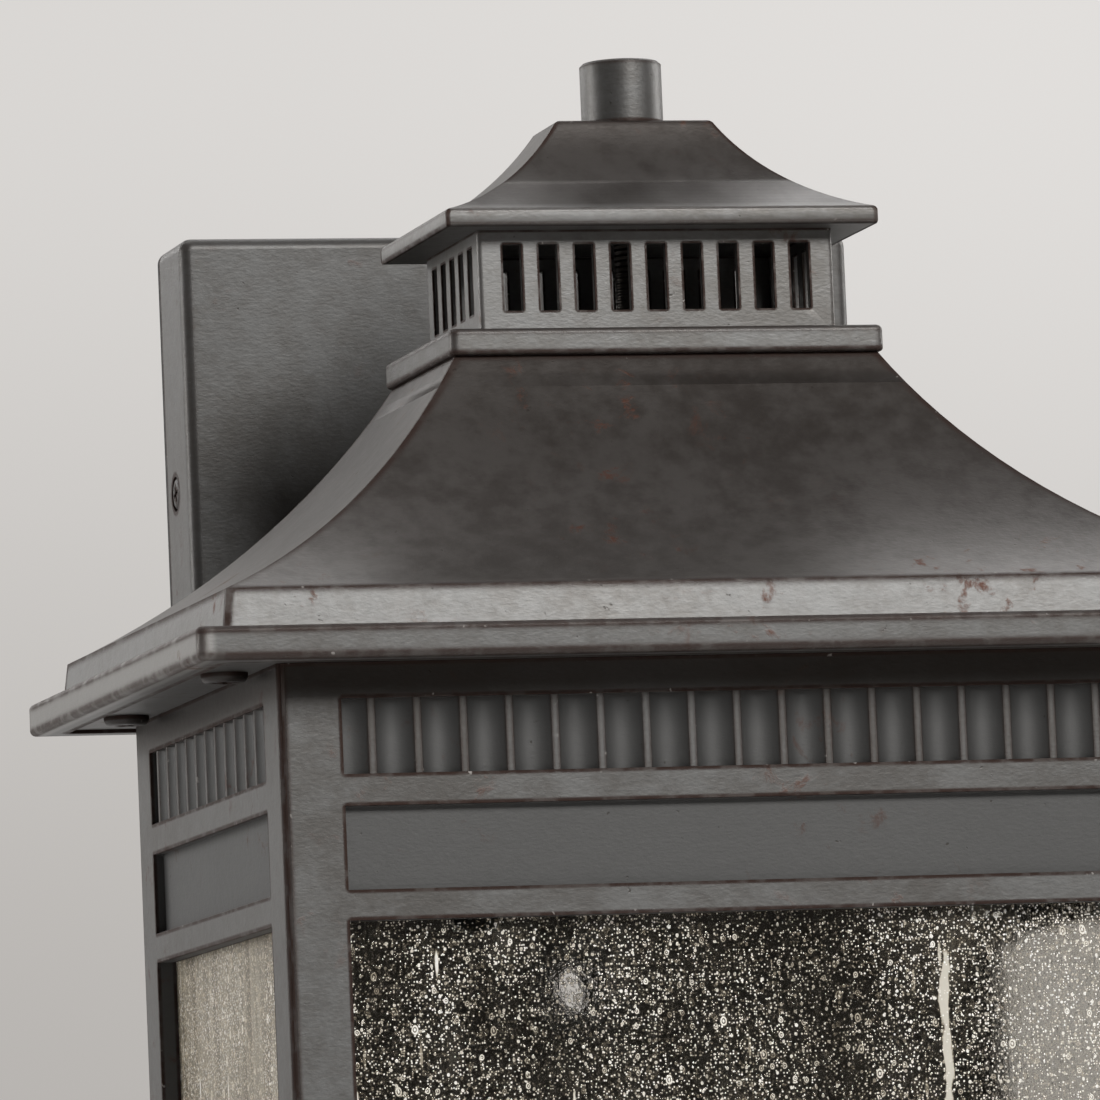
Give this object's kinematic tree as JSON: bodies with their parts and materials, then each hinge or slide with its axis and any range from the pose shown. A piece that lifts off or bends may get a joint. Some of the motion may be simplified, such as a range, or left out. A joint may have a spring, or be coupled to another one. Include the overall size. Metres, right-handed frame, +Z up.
{
  "type": "wall lantern",
  "caption": "Outdoor wall lantern with louvred cupola, concave roof, fluted frieze and seeded glass panes, carried by a neck on a box-shaped wall plate.",
  "frame": {"origin": "centre of the wall plate, on the wall's surface", "axes": "+Z up, -Y out from the wall towards the lantern's front, +X to the right as seen from the front"},
  "size_m": [0.19, 0.17, 0.3662],
  "materials": {
    "roof_shell": "aged bronze paint with fine brush texture",
    "ring_plate": "aged bronze paint with fine brush texture",
    "louvre_box": "aged bronze paint with fine brush texture",
    "cupola_cap": "aged bronze paint with fine brush texture",
    "finial_knob": "aged bronze paint with fine brush texture",
    "front_wall": "aged bronze paint with fine brush texture",
    "back_wall": "aged bronze paint with fine brush texture",
    "left_wall": "aged bronze paint with fine brush texture",
    "right_wall": "aged bronze paint with fine brush texture",
    "soffit_plate": "aged bronze paint with fine brush texture",
    "base_plate": "aged bronze paint with fine brush texture",
    "wall_plate": "aged bronze paint with fine brush texture",
    "neck": "aged bronze paint with fine brush texture",
    "side_screws": "aged bronze paint with fine brush texture",
    "soffit_screws": "aged bronze paint with fine brush texture",
    "base_screws": "aged bronze paint with fine brush texture",
    "wall_gasket": "closed-cell foam",
    "mounting_bracket": "zinc plated",
    "earth_screw": "green enamel",
    "neck_bolts": "zinc plated",
    "neck_nuts": "zinc plated",
    "wire_grommet": "matt rubber",
    "flange_screws": "zinc plated",
    "glass_front": "clear with dense small seeds",
    "glass_left": "clear with dense small seeds",
    "glass_right": "clear with dense small seeds",
    "glass_clips": "spring steel",
    "clip_screws": "zinc plated",
    "lampholder_nipple": "threaded steel tube",
    "lampholder_nut": "zinc plated",
    "lampholder_body": "white glaze",
    "lampholder_sleeve": "pressed brass",
    "lampholder_contact": "pressed brass",
    "lamp_cap": "screw cap",
    "lamp_globe": "opal glass",
    "tie_rod": "threaded steel",
    "bridge_bar": "zinc plated",
    "rod_nut": "zinc plated"
  },
  "bodies": {
    "lantern": {"front_wall": "front_wall", "back_wall": "back_wall", "left_wall": "left_wall", "right_wall": "right_wall", "soffit_plate": "soffit_plate", "base_plate": "base_plate", "wall_plate": "wall_plate", "neck": "neck", "side_screws": "side_screws", "soffit_screws": "soffit_screws", "base_screws": "base_screws", "wall_gasket": "wall_gasket", "mounting_bracket": "mounting_bracket", "earth_screw": "earth_screw", "neck_bolts": "neck_bolts", "neck_nuts": "neck_nuts", "wire_grommet": "wire_grommet", "flange_screws": "flange_screws", "glass_front": "glass_front", "glass_left": "glass_left", "glass_right": "glass_right", "glass_clips": "glass_clips", "clip_screws": "clip_screws", "lampholder_nipple": "lampholder_nipple", "lampholder_nut": "lampholder_nut", "lampholder_body": "lampholder_body", "lampholder_sleeve": "lampholder_sleeve", "lampholder_contact": "lampholder_contact"},
    "roof": {"roof_shell": "roof_shell", "ring_plate": "ring_plate", "louvre_box": "louvre_box", "tie_rod": "tie_rod", "bridge_bar": "bridge_bar", "rod_nut": "rod_nut"},
    "cupola": {"cupola_cap": "cupola_cap"},
    "knob": {"finial_knob": "finial_knob"},
    "lamp": {"lamp_cap": "lamp_cap", "lamp_globe": "lamp_globe"}
  },
  "joints": [
    {"name": "roof_lift", "type": "slide", "parent": "lantern", "child": "roof", "axis": [0, 0, 1], "range_m": [0, 0.08]},
    {"name": "cupola_lift", "type": "slide", "parent": "roof", "child": "cupola", "axis": [0, 0, 1], "range_m": [0, 0.04]},
    {"name": "knob_turn", "type": "hinge", "parent": "cupola", "child": "knob", "pos_m": [0, -0.098, 0.1012], "axis": [0, 0, 1], "continuous": true},
    {"name": "lamp_turn", "type": "hinge", "parent": "lantern", "child": "lamp", "pos_m": [0, -0.098, -0.2009], "axis": [0, 0, 1], "continuous": true}
  ]
}
